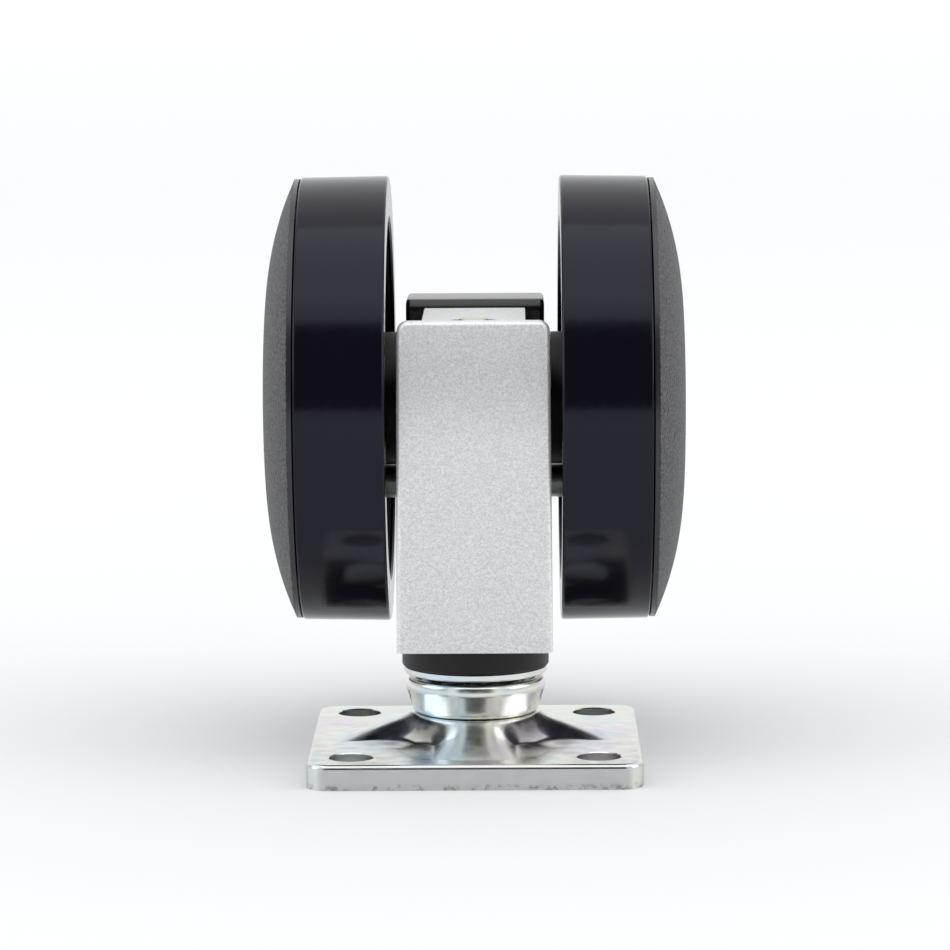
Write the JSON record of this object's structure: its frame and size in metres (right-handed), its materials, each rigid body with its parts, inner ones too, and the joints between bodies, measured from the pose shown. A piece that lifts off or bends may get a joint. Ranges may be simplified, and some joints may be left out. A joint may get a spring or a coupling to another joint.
{
  "type": "chair caster wheel",
  "caption": "Twin-wheel swivel caster with a square screw-on plate, a narrow silver housing, domed black wheels and a foot brake.",
  "frame": {"origin": "centre of the plate's mounting face, on the swivel axis", "axes": "+Z from the mounting face along the swivel axis towards the wheels, +X along the axle, +Y towards the axle's side of the swivel axis"},
  "size_m": [0.0466, 0.0582, 0.0633],
  "materials": {
    "zinc_plated_steel": "bright zinc plating, pressed",
    "stem_zinc": "yellow-green passivated zinc",
    "plain_steel": "turned steel",
    "silver_paint": "silver metallic paint, satin",
    "black_seal": "moulded, satin",
    "lever_black": "moulded, semi-gloss",
    "tread_black": "moulded, high gloss",
    "wheel_black": "moulded, satin",
    "cover_black": "moulded, spark-eroded grain",
    "natural_acetal": "moulded, satin"
  },
  "bodies": {
    "plate": {"mounting_plate": "zinc_plated_steel", "bearing_cup": "zinc_plated_steel", "kingpin": "stem_zinc", "stem_ring": "plain_steel", "swivel_balls": "plain_steel"},
    "fork": {"housing": "silver_paint", "race_washer": "zinc_plated_steel", "seal_ring": "black_seal", "lower_bush": "natural_acetal", "upper_bush": "natural_acetal", "axle": "plain_steel", "axle_clip_left": "plain_steel", "axle_clip_right": "plain_steel", "lever_pin": "plain_steel"},
    "left_wheel": {"hub_bush_left": "wheel_black", "wheel_left": "wheel_black", "tread_left": "tread_black", "cover_left": "cover_black"},
    "right_wheel": {"hub_bush_right": "wheel_black", "wheel_right": "wheel_black", "tread_right": "tread_black", "cover_right": "cover_black"},
    "lever": {"brake_lever": "lever_black"},
    "slider": {"brake_slider": "natural_acetal", "brake_pin": "plain_steel", "brake_spring": "plain_steel"}
  },
  "joints": [
    {"name": "swivel", "type": "hinge", "parent": "plate", "child": "fork", "pos_m": [0, 0, 0], "axis": [0, 0, 1], "continuous": true},
    {"name": "left_wheel_spin", "type": "hinge", "parent": "fork", "child": "left_wheel", "pos_m": [0, 0.0152, 0.0383], "axis": [1, 0, 0], "continuous": true},
    {"name": "right_wheel_spin", "type": "hinge", "parent": "fork", "child": "right_wheel", "pos_m": [0, 0.0152, 0.0383], "axis": [1, 0, 0], "continuous": true},
    {"name": "brake_press", "type": "hinge", "parent": "fork", "child": "lever", "pos_m": [0, 0.0285, 0.04], "axis": [1, 0, 0], "range_deg": [0, 14]},
    {"name": "brake_slide", "type": "slide", "parent": "fork", "child": "slider", "axis": [0, 0, -1], "range_m": [0, 0.0022], "deforming": ["brake_spring"]}
  ],
  "couplings": [
    {"joint": "brake_slide", "follows": "brake_press", "m_per_rad": 0.009}
  ]
}
